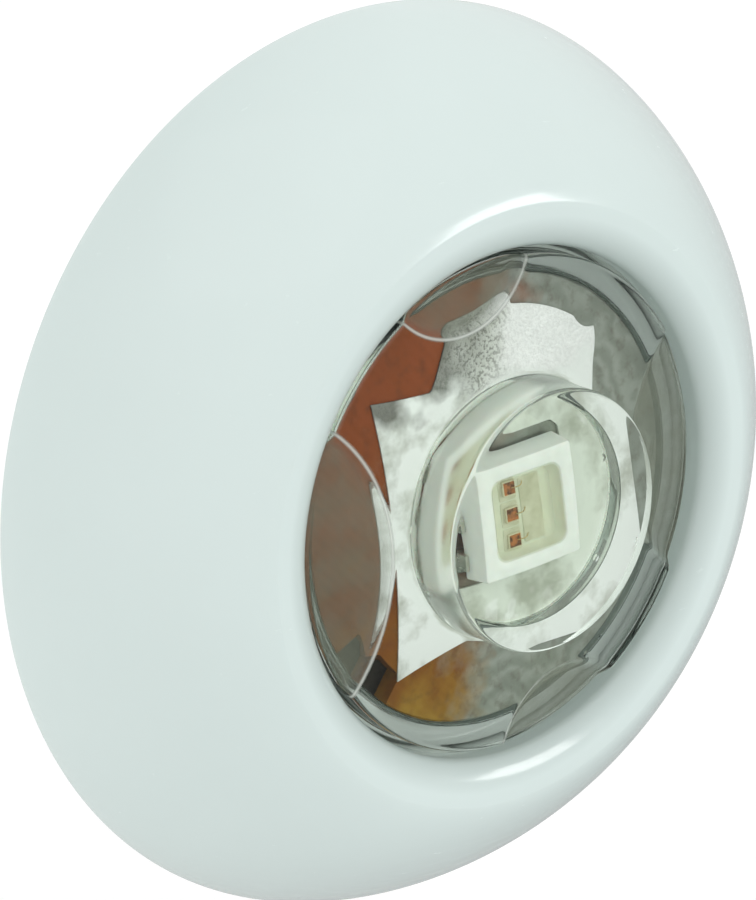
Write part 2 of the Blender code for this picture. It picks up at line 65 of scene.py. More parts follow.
# Places read from the frame.
RING_R = edge("face_ring", 1, "x")
FLANGE_R = edge("lens", 1, "x")
BOARD_R = edge("led_board", 1, "x")
PLATE_R = edge("housing", 1, "x")
NUT_FLAT_R = edge("locknut", 1, "z")
LENS_BACK_Y = edge("lens", 1, "y")
RING_TOP_Y, WALL_Y = span("face_ring")
LED_FRONT_Y, LED_BACK_Y = span("led_body")
BOARD_Y, BOARD_BACK_Y = span("led_board")
PAD_FRONT_Y, PAD_BACK_Y = span("heat_pad")
NUT_FRONT_Y, NUT_BACK_Y = span("locknut")
HEAD_Y, TAIL_END_Y = span("housing")


def y_at(depth):
    """The y of a place that is depth in front of the wall's wet face."""
    return WALL_Y - depth


# Shapes inside those boxes, as the CAD has them. A thread is the depth where it points straight up, its
# first and last turn, and its height, which is negative in a bore.
DOME_POWER = 1.35
LIP_R = 14.7
THROAT_R = 12.55
LIP_DROP = 1.15
SHOULDER_Y = y_at(7.5)
RING_WALL = 1.6
RIM_LAND = 1.5
SKIRT_BORE = 16.5
SKIRT_R = 17.9
SKIRT_END_Y = y_at(3.1)
HEAD_R = 15.5
PITCH = 1.5
THREAD_PHASE = 0.0125
THREAD_FADE = 0.15
ROWS_PER_MM = 8
RIDGE_ROOT = 0.64
RIDGE_CREST = 0.2
RING_THREAD = (6.75, 0.4, 1.78, -0.62)
HEAD_THREAD = (6.0, 0.0, 1.46, 0.65)
TAIL_THREAD = (-1.2, 0.0, 6.6, 0.9)
NUT_THREAD = (-1.95, 1.9, 3.8, -0.85)
LENS_R = 12.2
PLATE_Y = y_at(8.5)
SCOOP_Y = y_at(8.05)
FLANGE_Y = y_at(7.1)
LENS_UNDER_Y = y_at(6.5)
BOSS_R = 6.4
BOSS_RIM_Y = y_at(11.3)
BOSS_POWER = 2.3
POCKET_R = 5.0
POCKET_Y = y_at(8.1)
SCOOPS = (  # angle, centre's distance from the axis and radius; each scoop has its opposite
    (math.radians(4), 16.2, 8.7),
    (math.radians(106), 13.9, 4.5),
)
LED_HALF = 2.5
LEAD_PITCH = 1.7
CAVITY_FLOOR_Y = y_at(7.2)
DIE_X = -0.6
DIE_PITCH = 1.15
BOARD_TURN = math.radians(6.5)
PAD_HALF = 7.0
PAD_BOW = 0.6
PAD_WINDOW = 2.88
POOL_R = 9.6
POOL_SECTOR = (math.radians(38), math.radians(118))
NOTCH_ANGLE = math.radians(221)
NOTCH_HALF = 1.8
NOTCH_LENGTH = 1.7
SEAT_R = 14.4
SEAT_Y = y_at(5.65)
GROOVE = (12.35, 13.8)
GROOVE_DEPTH = 1.1
CAVITY_R = 11.4
CAVITY_Y = y_at(3.1)
PLATE_FRONT_Y = y_at(2.7)
PLATE_BACK_Y = y_at(1.4)
TAIL_R = 7.8
TAIL_BORE = 6.4
NUT_BORE = 9.0
GROMMET_R = 2.9
GROMMET_HEAD_R = 3.6
GROMMET_END = -14.3
CABLE_R = 2.0
CABLE_BORE = 1.45
CABLE_START = -8.8
CABLE_TAIL = 14.0
CABLE_BEND_R = 8.0
CABLE_BEND = math.radians(84)
CABLE_SIDE = math.radians(-32)
CORE_R = 0.6
CORE_OFFSET = 0.75
CORE_START = -4.05
CORE_TAIL = 19.0
TIP_LENGTH = 3.5
STRAND_R = 0.11


# ---------------- mesh helpers


def fractions(steps):
    return [i / steps for i in range(steps + 1)]


def held(value):
    """A value held between 0 and 1."""
    return min(1.0, max(0.0, value))


def eased(value):
    """A value held between 0 and 1, with a smooth start and a smooth end."""
    share = held(value)
    return share * share * (3 - 2 * share)


def new_object(name, mesh, smooth_angle=30):
    mesh.shade_smooth()
    mesh.set_sharp_from_angle(angle=math.radians(smooth_angle))
    obj = bpy.data.objects.new(name, mesh)
    bpy.context.scene.collection.objects.link(obj)
    return obj


def from_bmesh(name, bm, smooth_angle=30):
    bmesh.ops.remove_doubles(bm, verts=bm.verts, dist=1e-8)
    bmesh.ops.recalc_face_normals(bm, faces=bm.faces)
    mesh = bpy.data.meshes.new(name)
    bm.to_mesh(mesh)
    bm.free()
    return new_object(name, mesh, smooth_angle)


def bridge(bm, near, far):
    """Faces between two loops of the same number of points, but none where near runs along the axis."""
    for j in range(len(near)):
        k = (j + 1) % len(near)
        if max(near[j].co.xz.length, near[k].co.xz.length) > 1e-7:
            bm.faces.new((near[j], near[k], far[k], far[j]))


def on_axis(r, y, angle):
    """The point at radius r and place y, at an angle from +X towards +Z, in metres."""
    return Vector((r * math.cos(angle), y, r * math.sin(angle))) * MM


def rounded(outline, radius, steps=4, closed=True):
    """The outline of (r, y) points with each corner rounded, or with less where its sides are short."""
    points = [Vector(p) for p in outline]
    count = len(points)
    result = []
    for i, here in enumerate(points):
        before, after = points[i - 1], points[(i + 1) % count]
        if not closed and i in (0, count - 1):
            result.append(here)
            continue
        to_before, to_after = before - here, after - here
        short = min(to_before.length, to_after.length)
        turn = to_before.angle(to_after, math.pi)
        if short < 1e-6 or turn > math.radians(172):
            result.append(here)
            continue
        cut = min(radius / math.tan(turn / 2), 0.45 * short)
        start = here + to_before.normalized() * cut
        end = here + to_after.normalized() * cut
        for t in fractions(steps):
            result.append(start * (1 - t) ** 2 + here * 2 * t * (1 - t) + end * t**2)
    return [(p.x, p.y) for p in result]


def loft(name, outline_at, steps):
    """A body whose closed outline of (r, y) points may change with the angle about the light's axis."""
    bm = bmesh.new()
    columns = []
    for i in range(steps):
        angle = math.tau * i / steps
        columns.append([bm.verts.new(on_axis(r, y, angle)) for r, y in outline_at(angle)])
    for near, far in zip(columns, columns[1:] + columns[:1]):
        bridge(bm, near, far)
    return from_bmesh(name, bm)


def lathe(name, outline):
    """Turns a closed outline of (r, y) points about the light's axis."""
    return loft(name, lambda angle: outline, 160)


def arc(centre, radius, start, end, steps):
    """Points on a circle in (r, y), with angles in degrees from +r towards +y."""
    angles = [math.radians(start + (end - start) * t) for t in fractions(steps)]
    return [(centre[0] + radius * math.cos(a), centre[1] + radius * math.sin(a)) for a in angles]


def rounded_square(half, corner, steps=5, half_z=None):
    """(x, z) points round a square or a rectangle with rounded corners."""
    half_z = half_z or half
    points = []
    for quarter in range(4):
        start = quarter * math.pi / 2
        sx = math.copysign(half - corner, math.cos(start + math.pi / 4))
        sz = math.copysign(half_z - corner, math.sin(start + math.pi / 4))
        for share in fractions(steps):
            a = start + share * math.pi / 2
            points.append((sx + corner * math.cos(a), sz + corner * math.sin(a)))
    return points


def turn_with_board(obj):
    """Turns a piece about the axis as far as the LED and its pad are turned."""
    obj.data.transform(Matrix.Rotation(-BOARD_TURN, 4, "Y"))
    return obj


def stacked(name, stacks, smooth_angle=30):
    """A piece turned with the board, made of stacks of rings; stacks gives each one's layers and centre.

    A layer is a ring of (x, z) points and its y. A stack is closed at its first and last layers.
    """
    bm = bmesh.new()
    for layers, (cx, cz) in stacks:
        rings = [[bm.verts.new(Vector((x + cx, y, z + cz)) * MM) for x, z in points] for points, y in layers]
        for near, far in zip(rings, rings[1:]):
            bridge(bm, near, far)
        bm.faces.new(rings[0])
        bm.faces.new(rings[-1])
    return turn_with_board(from_bmesh(name, bm, smooth_angle))


def place(obj, finish, node=None, body="light_body"):
    """Gives a piece its body, its material and the CAD node it stands for."""
    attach(obj, body)
    obj.data.materials.clear()
    obj.data.materials.append(finish)
    if node:
        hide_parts(node)


# ---------------- material helpers


class Tree:
    """The node tree of a material or a world, with short calls for the nodes they share."""

    def __init__(self, owner, shader):
        owner.use_nodes = True
        self.tree = owner.node_tree
        self.shader = self.tree.nodes[shader]
        self.place = self.node("ShaderNodeTexCoord").outputs["Object"]

    def node(self, kind, **values):
        made = self.tree.nodes.new(kind)
        for key, value in values.items():
            setattr(made, key, value)
        return made

    def link(self, source, target):
        self.tree.links.new(source, target)

    def set(self, **values):
        for key, value in values.items():
            self.shader.inputs[key.replace("_", " ")].default_value = value

    def feed(self, target, value):
        """Links a socket to its target, or sets the target to a number or a colour."""
        if isinstance(value, tuple):
            target.default_value = (*value, 1.0)
        elif isinstance(value, (int, float)):
            target.default_value = value
        else:
            self.link(value, target)

    def paint(self, **values):
        for key, value in values.items():
            self.link(value, self.shader.inputs[key.replace("_", " ")])

    def noise(self, size, detail=3.0, roughness=0.5, stretch=(1, 1, 1)):
        """A noise value with features about size millimetres across."""
        mapping = self.node("ShaderNodeMapping")
        mapping.inputs["Scale"].default_value = stretch
        texture = self.node("ShaderNodeTexNoise")
        texture.inputs["Scale"].default_value = 1 / (size * MM)
        texture.inputs["Detail"].default_value = detail
        texture.inputs["Roughness"].default_value = roughness
        self.link(self.place, mapping.inputs["Vector"])
        self.link(mapping.outputs["Vector"], texture.inputs["Vector"])
        return texture.outputs["Fac"]

    def cells(self, size):
        """How far each point is from the middle of its cell; the cells are about size millimetres across."""
        texture = self.node("ShaderNodeTexVoronoi")
        texture.inputs["Scale"].default_value = 1 / (size * MM)
        self.link(self.place, texture.inputs["Vector"])
        return texture.outputs["Distance"]

    def spread(self, value, low, high, source=(0.3, 0.7)):
        """Maps a value from its source range to low..high."""
        made = self.node("ShaderNodeMapRange")
        self.link(value, made.inputs["Value"])
        for key, number in zip(("From Min", "From Max", "To Min", "To Max"), (*source, low, high)):
            made.inputs[key].default_value = number
        return made.outputs["Result"]

    def ramp(self, value, *stops):
        """Maps a value to colour through (position, (r, g, b)) stops."""
        made = self.node("ShaderNodeValToRGB")
        self.link(value, made.inputs["Fac"])
        elements = made.color_ramp.elements
        while len(elements) < len(stops):
            elements.new(0.5)
        for element, (position, colour) in zip(elements, stops):
            element.position = position
            element.color = (*colour, 1.0)
        return made.outputs["Color"]

    def mix(self, factor, first, second):
        made = self.node("ShaderNodeMix", data_type="RGBA")
        self.link(factor, made.inputs["Factor"])
        for target, value in zip((i for i in made.inputs if i.type == "RGBA"), (first, second)):
            self.feed(target, value)
        return next(o for o in made.outputs if o.type == "RGBA")

    def math(self, operation, first, second=0.0):
        made = self.node("ShaderNodeMath", operation=operation)
        for target, value in zip(made.inputs, (first, second)):
            self.feed(target, value)
        return made.outputs["Value"]

    def blend(self, share, first, second):
        """A shader node that mixes two others; share is the second's part."""
        both = self.node("ShaderNodeMixShader")
        self.link(share, both.inputs[0])
        self.link(first.outputs[0], both.inputs[1])
        self.link(second.outputs[0], both.inputs[2])
        return both

    def axes(self):
        """The x, y and z of a point, in millimetres."""
        separate = self.node("ShaderNodeSeparateXYZ")
        self.link(self.place, separate.inputs[0])
        return [self.math("MULTIPLY", separate.outputs[letter], 1 / MM) for letter in "XYZ"]

    def length(self, first, second):
        squares = (self.math("MULTIPLY", first, first), self.math("MULTIPLY", second, second))
        return self.math("SQRT", self.math("ADD", *squares))

    def bump(self, height, depth, under=None):
        """A bump of depth millimetres, on top of another bump if there is one."""
        made = self.node("ShaderNodeBump")
        made.inputs["Distance"].default_value = depth * MM
        self.link(height, made.inputs["Height"])
        if under:
            self.link(under, made.inputs["Normal"])
        self.paint(Normal=made.outputs["Normal"])
        return made.outputs["Normal"]


class Nodes(Tree):
    """A new material and its node tree."""

    def __init__(self, name):
        self.material = bpy.data.materials.new(name)
        super().__init__(self.material, "Principled BSDF")
        self.output = self.tree.nodes["Material Output"]


def moulded(name, colour, roughness, grain, depth, coat=0.0, speck=0.06):
    """Moulded plastic or rubber: a slight colour drift, a fine grain and uneven gloss."""
    n = Nodes(name)
    drift = n.noise(6.0)
    darker = tuple(c * (1 - speck) for c in colour)
    n.paint(Base_Color=n.mix(drift, darker, colour))
    gloss = n.noise(1.6, 4.0)
    n.paint(Roughness=n.spread(gloss, roughness * 0.85, roughness * 1.2))
    n.bump(n.noise(grain, 2.0), depth)
    n.set(Coat_Weight=coat, Coat_Roughness=0.04)
    return n.material


def white_abs():
    """Glossy white ABS with a faint cool cast, greyed down in its throat by painted shade, with ripple and
    fine scuffs.
    """
    n = Nodes("white_abs")
    x, _, z = n.axes()
    drift = n.noise(9.0, 2.0)
    clean = n.mix(drift, (0.615, 0.705, 0.685), (0.645, 0.735, 0.715))
    # The grey mixed in down the throat is painted shade, for the shaded throat wall next to the lens.
    throat_shade = n.spread(n.length(x, z), 0.55, 0.0, (THROAT_R, THROAT_R + 1.5))
    n.paint(Base_Color=n.mix(throat_shade, clean, (0.30, 0.36, 0.335)))
    scuffs = n.noise(0.5, 6.0, 0.7, stretch=(0.15, 1.0, 1.0))
    n.paint(Roughness=n.spread(scuffs, 0.16, 0.30, (0.45, 0.75)))
    ripple = n.bump(n.noise(3.2, 1.0), 0.010)
    n.bump(n.noise(0.35, 3.0), 0.0012, ripple)
    n.set(Coat_Weight=0.35, Coat_Roughness=0.08, Subsurface_Weight=0.06, Subsurface_Scale=0.001)
    n.set(Subsurface_Radius=(1.0, 0.9, 0.8), IOR=1.5)
    return n.material


def see_through(n, surface, tint):
    """Lets shadow and diffuse rays pass straight through a clear surface, so that what is inside is lit."""
    clear = n.node("ShaderNodeBsdfTransparent")
    n.feed(clear.inputs["Color"], tint)
    path = n.node("ShaderNodeLightPath")
    passing = n.math("MAXIMUM", path.outputs["Is Shadow Ray"], path.outputs["Is Diffuse Ray"])
    n.link(n.blend(passing, surface, clear).outputs[0], n.output.inputs["Surface"])


def glassy(name, ior):
    """A clear material's nodes, and its glass shader."""
    n = Nodes(name)
    glass = n.node("ShaderNodeBsdfGlass")
    glass.inputs["IOR"].default_value = ior
    glass.inputs["Roughness"].default_value = 0.0
    n.set(Transmission_Weight=1.0, Roughness=0.02, IOR=ior, Base_Color=(0.95, 0.98, 0.96, 1.0))
    return n, glass


def outside_scoops(n, x, z):
    """How far a point is outside the nearest of the lens's scoops, or less than nothing inside it."""
    edges = []
    for turn, distance, radius in SCOOPS:
        c, s = math.cos(turn), math.sin(turn)
        along = n.math("ADD", n.math("MULTIPLY", x, c), n.math("MULTIPLY", z, s))
        aside = n.math("SUBTRACT", n.math("MULTIPLY", z, c), n.math("MULTIPLY", x, s))
        reach = n.length(n.math("SUBTRACT", n.math("ABSOLUTE", along), distance), aside)
        edges.append(n.math("SUBTRACT", reach, radius))
    return n.math("MINIMUM", *edges)


def clear_plastic():
    """Clear moulding: ripple, a few pinholes, hazy scoops whose dark haze is painted shade and whose pale
    outlines are painted highlights, and a frosted boss wall.
    """
    n, glass = glassy("clear_plastic", 1.5)
    tint = (0.985, 1.0, 0.99)
    n.feed(glass.inputs["Color"], tint)
    x, y, z = n.axes()
    outside = outside_scoops(n, x, z)
    front = n.spread(y, 1.0, 0.0, (SCOOP_Y + 0.05, SCOOP_Y + 0.15))
    in_scoop = n.math("MULTIPLY", n.spread(outside, 1.0, 0.0, (-0.5, 0.0)), front)
    frost = n.math("MULTIPLY", in_scoop, n.spread(n.noise(1.6, 4.0), 0.6, 1.0))
    smudge = n.spread(n.noise(0.8, 5.0), 0.0, 0.03, (0.45, 0.8))
    at_wall = n.spread(n.length(x, z), 0.0, 0.22, (BOSS_R - 0.12, BOSS_R - 0.02))
    wall = n.math("MULTIPLY", at_wall, n.spread(y, 1.0, 0.0, (PLATE_Y - 0.5, PLATE_Y - 0.1)))
    cloud = n.math("ADD", smudge, n.math("MULTIPLY", frost, 0.12))
    n.link(n.math("ADD", cloud, wall), glass.inputs["Roughness"])
    ripple = n.bump(n.noise(2.6, 1.0), 0.004)
    pits = n.spread(n.cells(3.4), 0.0, 1.0, (0.02, 0.06))
    n.link(n.bump(pits, 0.03, ripple), glass.inputs["Normal"])
    # The haze's dark olive is painted shade, for the shaded inside seen through the scoops. Its pale line
    # along each scoop's edge is a painted highlight, which fades towards +X.
    haze_shade_and_glint = n.node("ShaderNodeBsdfDiffuse")
    from_line = n.math("ABSOLUTE", n.math("ADD", outside, 0.02))
    wear_and_glint_fade = n.math("MULTIPLY", n.spread(x, 1.0, 0.12, (-1.0, 5.5)), front)
    line = n.math("MULTIPLY", n.spread(from_line, 0.75, 0.0, (0.02, 0.15)), wear_and_glint_fade)
    n.link(n.mix(line, (0.19, 0.21, 0.16), (0.72, 0.76, 0.72)), haze_shade_and_glint.inputs["Color"])
    share = n.math("MAXIMUM", n.math("MULTIPLY", frost, 0.62), line)
    see_through(n, n.blend(share, glass, haze_shade_and_glint), tint)
    return n.material


def led_gel():
    """Clear silicone over the dies: a warm, faintly cloudy sheet with a wet shine."""
    n = Nodes("led_gel")
    clear = n.node("ShaderNodeBsdfTransparent")
    n.link(n.mix(n.noise(0.8), (0.95, 0.95, 0.90), (0.99, 0.99, 0.96)), clear.inputs["Color"])
    shine = n.node("ShaderNodeBsdfGlossy")
    n.link(n.spread(n.noise(0.6), 0.04, 0.14), shine.inputs["Roughness"])
    n.link(n.bump(n.noise(1.2, 1.0), 0.02), shine.inputs["Normal"])
    facing = n.node("ShaderNodeFresnel")
    facing.inputs["IOR"].default_value = 1.3
    inward = n.math("SUBTRACT", 1.0, n.node("ShaderNodeNewGeometry").outputs["Backfacing"])
    share = n.math("MULTIPLY", facing.outputs[0], inward)
    see_through(n, n.blend(share, clear, shine), (0.95, 0.95, 0.88))
    n.set(Transmission_Weight=1.0, Roughness=0.08, IOR=1.41, Base_Color=(0.96, 0.96, 0.88, 1.0))
    return n.material


def brown_board():
    """Rust-brown lacquer over a fine glass weave, ochre at its lower edge, and grey-green with arcs at its
    right, which is a painted reflection seen in the lens's side wall.
    """
    n = Nodes("brown_board")
    x, _, z = n.axes()
    weave = n.node("ShaderNodeTexWave", wave_type="BANDS", bands_direction="DIAGONAL")
    weave.inputs["Scale"].default_value = 1 / (1.1 * MM)
    weave.inputs["Distortion"].default_value = 0.6
    n.link(n.place, weave.inputs["Vector"])
    height = n.spread(z, 0.0, 1.0, (-BOARD_R, 0.5 * BOARD_R))
    uneven = n.math("ADD", height, n.spread(n.noise(2.2, 4.0), -0.16, 0.16))
    lacquer = n.ramp(
        uneven,
        (0.0, (0.30, 0.17, 0.02)),
        (0.22, (0.20, 0.075, 0.005)),
        (0.5, (0.16, 0.042, 0.003)),
        (1.0, (0.23, 0.055, 0.012)),
    )
    # The grey-green with arcs at the right is a painted reflection seen in the lens's side wall.
    leaning = n.math("ADD", x, n.math("MULTIPLY", z, -0.12))
    side = n.math("ADD", leaning, n.spread(n.noise(1.7, 4.0), -1.2, 1.2))
    reflection_side = n.spread(side, 0.0, 0.92, (-2.2, 0.8))
    arcs = n.spread(n.noise(2.4, 2.0), 0.0, 2.0)
    rings = n.math("SINE", n.math("MULTIPLY", n.math("ADD", n.length(x, z), arcs), 4.2))
    painted_reflection = n.mix(n.spread(rings, 0.0, 1.0, (-0.8, 1.0)), (0.21, 0.245, 0.21), (0.28, 0.32, 0.28))
    lacquer = n.mix(reflection_side, lacquer, painted_reflection)
    stain = n.spread(n.noise(0.7, 5.0, 0.65), 0.0, 0.5, (0.5, 0.75))
    n.paint(Base_Color=n.mix(stain, lacquer, (0.06, 0.026, 0.01)))
    n.bump(weave.outputs["Fac"], 0.01)
    n.set(Roughness=0.6, Specular_IOR_Level=0.1)
    return n.material


def tinned():
    """Solder-tinned copper: bright, lumpy, with dull grey patches of dried flux."""
    n = Nodes("tinned_copper")
    patches = n.noise(1.8, 5.0, 0.6)
    n.paint(Base_Color=n.ramp(patches, (0.35, (0.58, 0.58, 0.50)), (0.62, (0.90, 0.90, 0.85))))
    n.paint(Roughness=n.spread(patches, 0.42, 0.2, (0.35, 0.6)))
    lumps = n.bump(n.noise(0.55, 2.0), 0.05)
    n.bump(n.noise(0.11, 2.0), 0.05 / 6, lumps)
    n.set(Metallic=1.0)
    return n.material


def solder_pad():
    """The heat pad: pale satin tinning with dull smears, and a grainy pool of solder at its upper edge whose
    run from dark at the left to bright at the right is a painted reflection.
    """
    n = Nodes("heat_pad_tin")
    x, _, z = n.axes()
    wander = n.spread(n.noise(2.0, 3.0), -1.3, 1.3)
    upper = n.spread(n.math("ADD", z, wander), 0.0, 1.0, (4.9, 6.6))
    patches = n.noise(2.6, 4.0, 0.6)
    grains = n.noise(0.16, 3.0, 0.7)
    dull = n.ramp(patches, (0.36, (0.52, 0.54, 0.47)), (0.54, (0.95, 0.98, 0.94)))
    # The pool's tone from dark at the left to bright at the right is a painted reflection of the light on
    # the solder; its dark grains show only on the dark side.
    across = n.math("ADD", x, n.math("MULTIPLY", wander, 0.6))
    lit = n.spread(across, 0.0, 1.0, (-4.5, 4.5))
    tone = n.ramp(lit, (0.1, (0.10, 0.10, 0.07)), (0.4, (0.62, 0.64, 0.58)), (0.6, (1.0, 1.0, 0.98)))
    grit = n.math("MAXIMUM", n.spread(grains, 0.2, 1.0, (0.42, 0.50)), n.spread(lit, 0.0, 0.9, (0.3, 0.6)))
    speckle = n.mix(grit, (0.06, 0.06, 0.04), tone)
    n.paint(Base_Color=n.mix(n.math("MULTIPLY", upper, 0.85), dull, speckle))
    n.paint(Roughness=n.spread(patches, 0.5, 0.3, (0.35, 0.6)))
    n.paint(Metallic=n.spread(upper, 0.25, 0.3, (0.0, 1.0)))
    waves = n.bump(n.noise(3.0, 1.5), 0.16)
    n.bump(n.math("MULTIPLY", grains, upper), 0.05, waves)
    return n.material


def satin_metal(name, colour, roughness, stretch=(1, 1, 1)):
    """Turned or drawn metal with fine lines."""
    n = Nodes(name)
    tone = tuple(c * 0.85 for c in colour)
    lines = n.noise(0.25, 4.0, 0.6, stretch)
    n.paint(Base_Color=n.mix(lines, tone, colour))
    n.paint(Roughness=n.spread(lines, roughness * 0.7, roughness * 1.35))
    n.bump(lines, 0.004)
    n.set(Metallic=1.0)
    return n.material


# ---------------- threads


def thread_height(angle, y, thread):
    """How far a right-hand thread's ridge stands out at an angle from +X towards +Z and at a y.

    The ridge goes back by one pitch for each turn from up towards +X.
    """
    zero_depth, first, last, height = thread
    back = y - y_at(zero_depth)
    turn = (math.pi / 2 - angle) / math.tau - THREAD_PHASE
    along = turn + round(back / PITCH - turn)
    away = abs(back - PITCH * along)
    fade = held(min(along - first, last - along) / THREAD_FADE)
    return height * fade * eased((RIDGE_ROOT - away) / (RIDGE_ROOT - RIDGE_CREST))


def threaded(radius, start_y, end_y, angle, thread):
    """(r, y) points down a threaded cylinder."""
    count = max(2, round(abs(end_y - start_y) * ROWS_PER_MM))
    ys = [start_y + (end_y - start_y) * t for t in fractions(count)]
    return [(radius + thread_height(angle, y, thread), y) for y in ys]


# ---------------- face ring


def dome(outer_r, height, first, last, steps):
    """Points on the ring's dome between two angles in degrees: 0 is the wall and 90 is the lip."""
    points = []
    for share in fractions(steps):
        t = math.radians(first + (last - first) * share)
        across = max(0.0, math.cos(t)) ** (2 / DOME_POWER)
        up = max(0.0, math.sin(t)) ** (2 / DOME_POWER)
        points.append((LIP_R + (outer_r - LIP_R) * across, WALL_Y - height * up))
    return points


def make_face_ring():
    height = WALL_Y - RING_TOP_Y
    outside = dome(RING_R, height, 0, 90, 64)
    lip = [
        (LIP_R - (LIP_R - THROAT_R) * math.sin(t), RING_TOP_Y + LIP_DROP * (1 - math.cos(t)))
        for t in (math.pi / 2 * share for share in fractions(18)[1:])
    ]
    inner_r = RING_R - RIM_LAND
    share = (SKIRT_R - LIP_R) / (inner_r - LIP_R)
    last = math.degrees(math.acos(share ** (DOME_POWER / 2)))
    inside = dome(inner_r, height - RING_WALL, last, 0, 24)
    collar = [
        (THROAT_R, SHOULDER_Y),
        (FLANGE_R + 0.1, SHOULDER_Y),
        (FLANGE_R + 0.1, HEAD_Y - 0.2),
        (SKIRT_BORE, HEAD_Y - 0.2),
    ]
    skirt = rounded([(SKIRT_BORE, SKIRT_END_Y), (SKIRT_R, SKIRT_END_Y)], 0.2, closed=False)

    def outline(angle):
        bore = threaded(SKIRT_BORE, HEAD_Y - 0.15, SKIRT_END_Y - 0.05, angle, RING_THREAD)
        return outside + lip + collar + bore + skirt + inside

    ring = loft("ring_shell", outline, 240)
    place(ring, white_abs(), "face_ring", body="face_ring")


def make_slip_washer():
    low, high = span("slip_washer")
    inner = THROAT_R + 0.2
    outline = rounded([(inner, low), (FLANGE_R, low), (FLANGE_R, high), (inner, high)], 0.08)
    finish = moulded("slip_nylon", (0.62, 0.62, 0.57), 0.45, 0.3, 0.004)
    place(lathe("slip_ring", outline), finish, "slip_washer", body="slip_washer")
    return finish


# ---------------- lens


def plate_y(r, angle):
    """The front of the lens's plate, which dips smoothly into each of its four scoops."""
    inside = -LENS_R
    for turn, distance, radius in SCOOPS:
        along, aside = abs(r * math.cos(angle - turn)), r * math.sin(angle - turn)
        inside = max(inside, radius + 0.1 - math.hypot(along - distance, aside))
    return PLATE_Y + (SCOOP_Y - PLATE_Y) * eased(inside / 0.8)


def make_lens():
    rim_r = BOSS_R - 0.30
    crown = [(rim_r * t, BOSS_RIM_Y * (rim_r * t / BOSS_R) ** BOSS_POWER) for t in fractions(24)]
    rim = arc((rim_r - 0.05, crown[-1][1] + 0.33), 0.32, -68, 0, 8)
    foot = arc((BOSS_R + 0.30, PLATE_Y - 0.25), 0.25, 180, 90, 5)
    boss = [*crown, *rim, (BOSS_R, PLATE_Y - 0.6), *foot]
    back = rounded(
        [
            (LENS_R, SCOOP_Y + 0.4),
            (LENS_R, FLANGE_Y),
            (FLANGE_R, FLANGE_Y),
            (FLANGE_R, LENS_BACK_Y),
            (BOARD_R + 0.1, LENS_BACK_Y),
            (BOARD_R + 0.1, LENS_UNDER_Y),
            (POCKET_R, LENS_UNDER_Y),
            (POCKET_R, POCKET_Y),
            (0.0, POCKET_Y),
        ],
        0.2,
        closed=False,
    )
    inner, outer = BOSS_R + 0.35, LENS_R - 0.25

    def outline(angle):
        spots = [inner + (outer - inner) * t for t in fractions(64)]
        plate = [(r, plate_y(r, angle)) for r in spots]
        shoulder = arc((outer, plate[-1][1] + 0.25), 0.25, -78, 0, 6)
        return boss + plate + shoulder + back

    lens = loft("lens_body", outline, 360)
    place(lens, clear_plastic(), "lens")


def make_potting():
    """The clear potting fills the lens's pocket with no gap, so that light passes from one to the other."""
    wall, roof, low = POCKET_R + 0.01, POCKET_Y - 0.01, PAD_FRONT_Y - 0.02
    outline = rounded([(0.0, roof), (wall, roof), (wall, low), (0.0, low)], 0.2, closed=False)
    n, glass = glassy("clear_potting", 1.41)
    n.link(n.mix(n.noise(1.4), (0.93, 0.95, 0.91), (0.98, 0.99, 0.97)), glass.inputs["Color"])
    n.link(n.bump(n.noise(1.8, 1.0), 0.003), glass.inputs["Normal"])
    see_through(n, glass, (0.99, 1.0, 0.98))
    place(lathe("potting_fill", outline), n.material, "led_potting")


def make_lens_oring():
    low, high = (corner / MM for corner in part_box("lens_oring"))
    section = (high.y - low.y) / 2
    outline = arc((high.x - section * 1.1, (low.y + high.y) / 2), section, 0, 345, 23)
    seal = moulded("seal_silicone", (0.50, 0.55, 0.52), 0.4, 0.3, 0.006)
    place(lathe("oring_round", outline), seal, "lens_oring")


# ---------------- LED


def make_led_package():
    front, back, floor = LED_FRONT_Y, LED_BACK_Y, CAVITY_FLOOR_Y
    layers = [
        (rounded_square(LED_HALF - 0.06, 0.12), back),
        (rounded_square(LED_HALF, 0.16), back - 0.06),
        (rounded_square(LED_HALF, 0.16), front + 0.10),
        (rounded_square(LED_HALF - 0.03, 0.16), front + 0.03),
        (rounded_square(LED_HALF - 0.10, 0.14), front),
        (rounded_square(1.92, 0.52), front),
        (rounded_square(1.84, 0.52), front + 0.05),
        (rounded_square(1.58, 0.42), floor - 0.04),
        (rounded_square(1.53, 0.40), floor),
    ]
    n = Nodes("led_ceramic")
    wear_and_glint_fade = n.spread(n.noise(0.5, 4.0), 0.0, 1.0)
    n.paint(Base_Color=n.mix(wear_and_glint_fade, (0.76, 0.79, 0.75), (0.82, 0.85, 0.81)))
    n.bump(n.noise(0.06, 2.0), 0.003)
    n.set(Roughness=0.38, Subsurface_Weight=0.1, Subsurface_Scale=0.0005)
    place(stacked("led_package", [(layers, (0, 0))]), n.material, "led_body")


